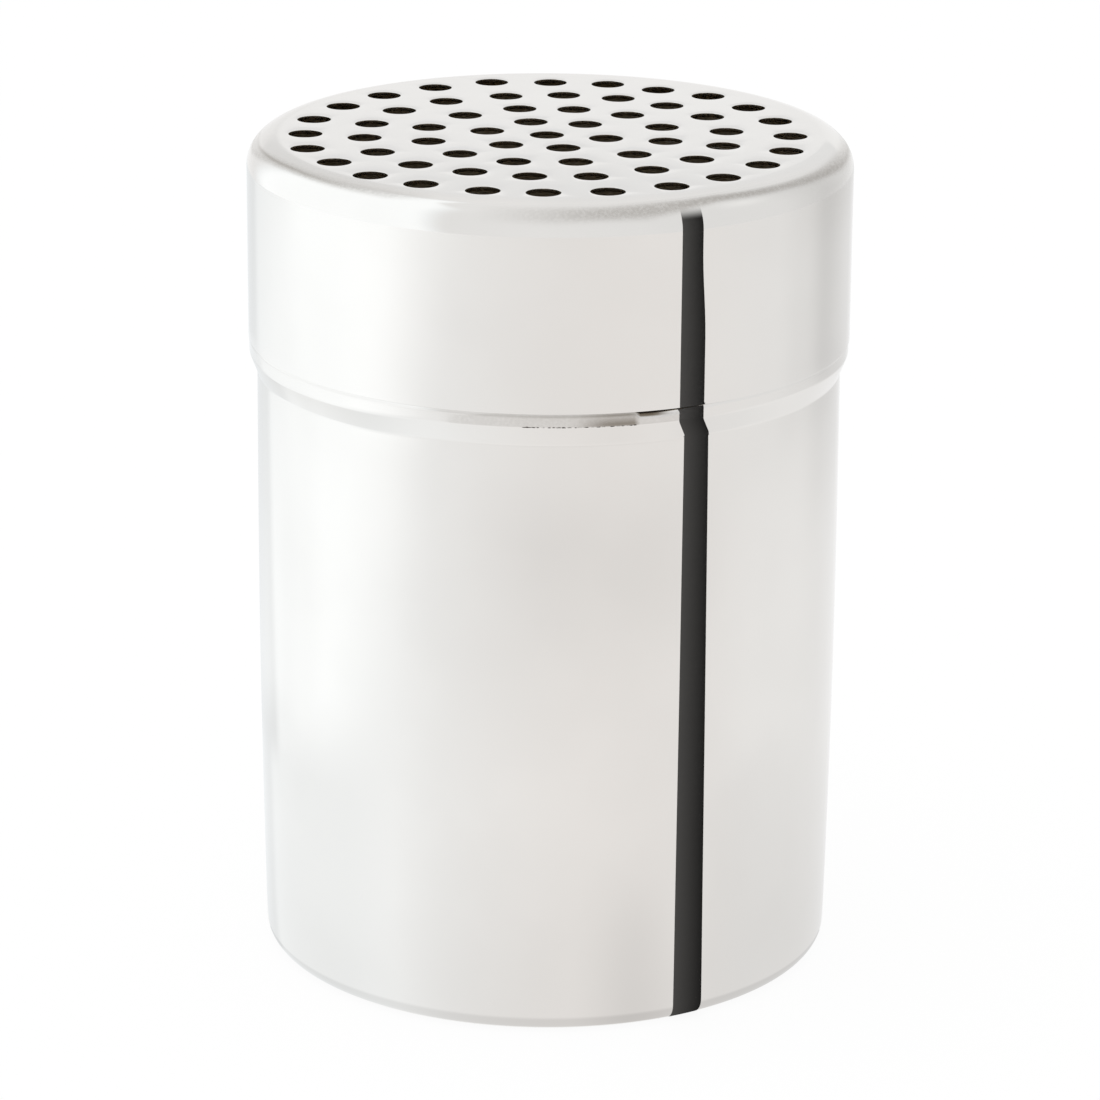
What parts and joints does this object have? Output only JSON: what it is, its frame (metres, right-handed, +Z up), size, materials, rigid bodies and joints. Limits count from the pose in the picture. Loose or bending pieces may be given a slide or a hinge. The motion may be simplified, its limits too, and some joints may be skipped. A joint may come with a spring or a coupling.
{
  "type": "spice shaker",
  "caption": "Round polished steel hand shaker: a straight drawn cup with a stop bead and a push-on lid with rounded corner and rings of punched pour holes.",
  "frame": {"origin": "centre of the foot ring, on the surface that the shaker stands on", "axes": "+Z up along the shaker's axis; -Y towards the front, the side first seen"},
  "size_m": [0.07, 0.07, 0.098],
  "materials": {
    "cup_steel": "polished stainless steel sheet, faint turning marks",
    "lid_steel": "polished stainless steel sheet, punched"
  },
  "bodies": {
    "cup": {"cup": "cup_steel"},
    "lid": {"lid": "lid_steel"}
  },
  "joints": [
    {"name": "lid_lift", "type": "slide", "parent": "cup", "child": "lid", "axis": [0, 0, 1], "range_m": [0, 0.03]}
  ]
}
